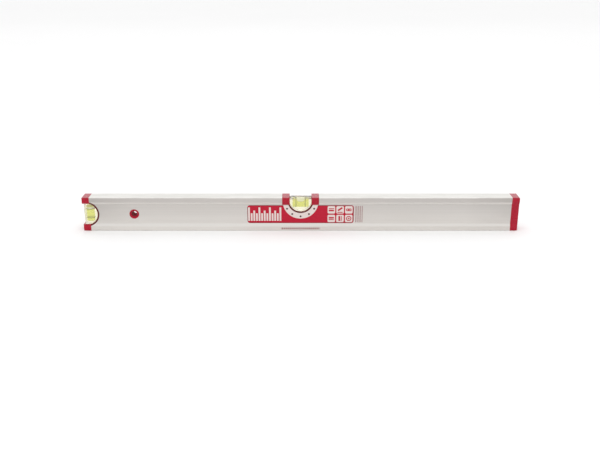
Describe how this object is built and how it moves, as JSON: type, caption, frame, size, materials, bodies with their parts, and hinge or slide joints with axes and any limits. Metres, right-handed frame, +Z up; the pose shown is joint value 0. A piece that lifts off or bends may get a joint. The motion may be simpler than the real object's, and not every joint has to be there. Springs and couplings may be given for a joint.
{
  "type": "spirit level",
  "caption": "Aluminium spirit level with a recessed hollow web, red plastic vial housings in the top edge and left end, sliding vial bubbles, an end cap and a lined hanging hole.",
  "frame": {"origin": "middle of the level's length and thickness, on its bottom edge", "axes": "+X along the level away from the plumb vial, -Y is the front with the printed label, +Z is up from the bottom edge to the top edge that holds the level vial"},
  "size_m": [0.6, 0.02, 0.048],
  "materials": {
    "anodised_aluminium": "satin anodised, drawn along its length",
    "red_plastic": "glossy moulded",
    "clear_acrylic": "clear polished",
    "vial_liquid": "clear yellow-green liquid",
    "air_bubble": "clear",
    "black_ring": "matt",
    "red_print": "screen-printed film"
  },
  "bodies": {
    "level": {"beam": "anodised_aluminium", "centre_housing_front": "red_plastic", "centre_housing_back": "red_plastic", "centre_vial_block": "clear_acrylic", "centre_vial_plug": "clear_acrylic", "centre_vial_liquid": "vial_liquid", "centre_vial_line_left": "black_ring", "centre_vial_line_right": "black_ring", "plumb_housing_front": "red_plastic", "plumb_housing_back": "red_plastic", "plumb_vial_block": "clear_acrylic", "plumb_vial_plug": "clear_acrylic", "plumb_vial_liquid": "vial_liquid", "plumb_vial_line_lower": "black_ring", "plumb_vial_line_upper": "black_ring", "end_cap": "red_plastic", "hang_bush_front": "red_plastic", "hang_bush_back": "red_plastic", "front_label": "red_print"},
    "centre_bubble": {"centre_vial_bubble": "air_bubble"},
    "plumb_bubble": {"plumb_vial_bubble": "air_bubble"}
  },
  "joints": [
    {"name": "centre_bubble_slide", "type": "slide", "parent": "level", "child": "centre_bubble", "axis": [1, 0, 0], "range_m": [-0.0046, 0.0046], "stiffness_N_per_m": 0.5},
    {"name": "plumb_bubble_slide", "type": "slide", "parent": "level", "child": "plumb_bubble", "axis": [0, 0, 1], "range_m": [-0.015, 0], "stiffness_N_per_m": 0.5, "springref_m": 0.012}
  ]
}
